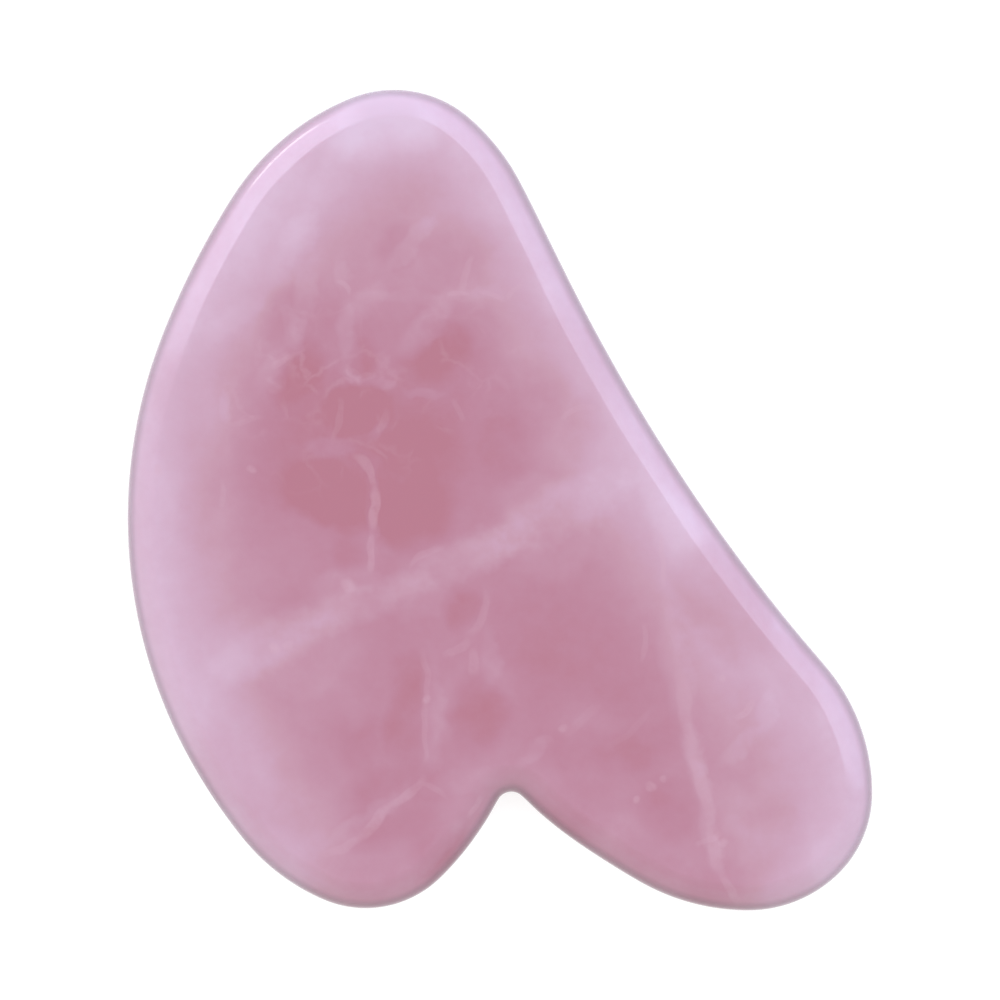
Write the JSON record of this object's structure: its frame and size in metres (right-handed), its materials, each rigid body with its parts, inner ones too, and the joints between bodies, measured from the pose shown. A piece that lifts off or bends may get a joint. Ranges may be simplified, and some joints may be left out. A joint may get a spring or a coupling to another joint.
{
  "type": "gua sha scraper",
  "caption": "Wing-shaped flat massage stone with a rounded edge all round, a hollow front edge, and a small notch between two round lobes.",
  "frame": {"origin": "under the middle of the plate's box, on the flat back face that it lies on", "axes": "+Z out of the front face, across the thickness; +Y along the plate from the two lobes up to the tip; +X towards the toe and the hollow front edge"},
  "size_m": [0.0684, 0.0754, 0.006],
  "materials": {
    "rose_quartz": "polished"
  },
  "bodies": {
    "root": {"stone_plate": "rose_quartz"}
  },
  "joints": []
}
